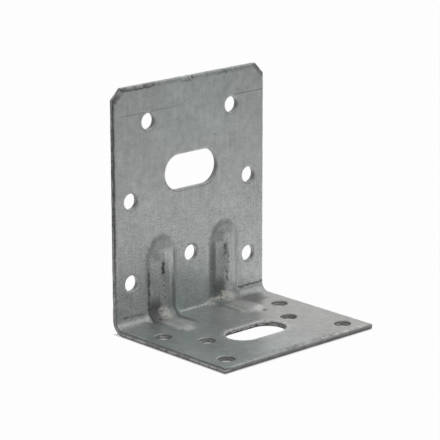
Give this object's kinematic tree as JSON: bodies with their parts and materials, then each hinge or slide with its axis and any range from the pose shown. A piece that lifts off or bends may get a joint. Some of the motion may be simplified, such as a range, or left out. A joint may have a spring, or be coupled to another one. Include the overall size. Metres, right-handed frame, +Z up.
{
  "type": "reinforcing angle",
  "caption": "Folded sheet-steel angle with nail holes, a bolt slot in each leg and stiffening ribs pressed across the fold, for bracing timber joints.",
  "frame": {"origin": "middle of the underside, below the centre of the part's box", "axes": "+X along the fold, +Y out of the upright leg's back, +Z up; the base leg points to -Y"},
  "size_m": [0.057, 0.0466, 0.0705],
  "materials": {
    "galvanised_sheet": "galvanised, dull"
  },
  "bodies": {
    "root": {"reinforcing_angle": "galvanised_sheet"}
  },
  "joints": []
}
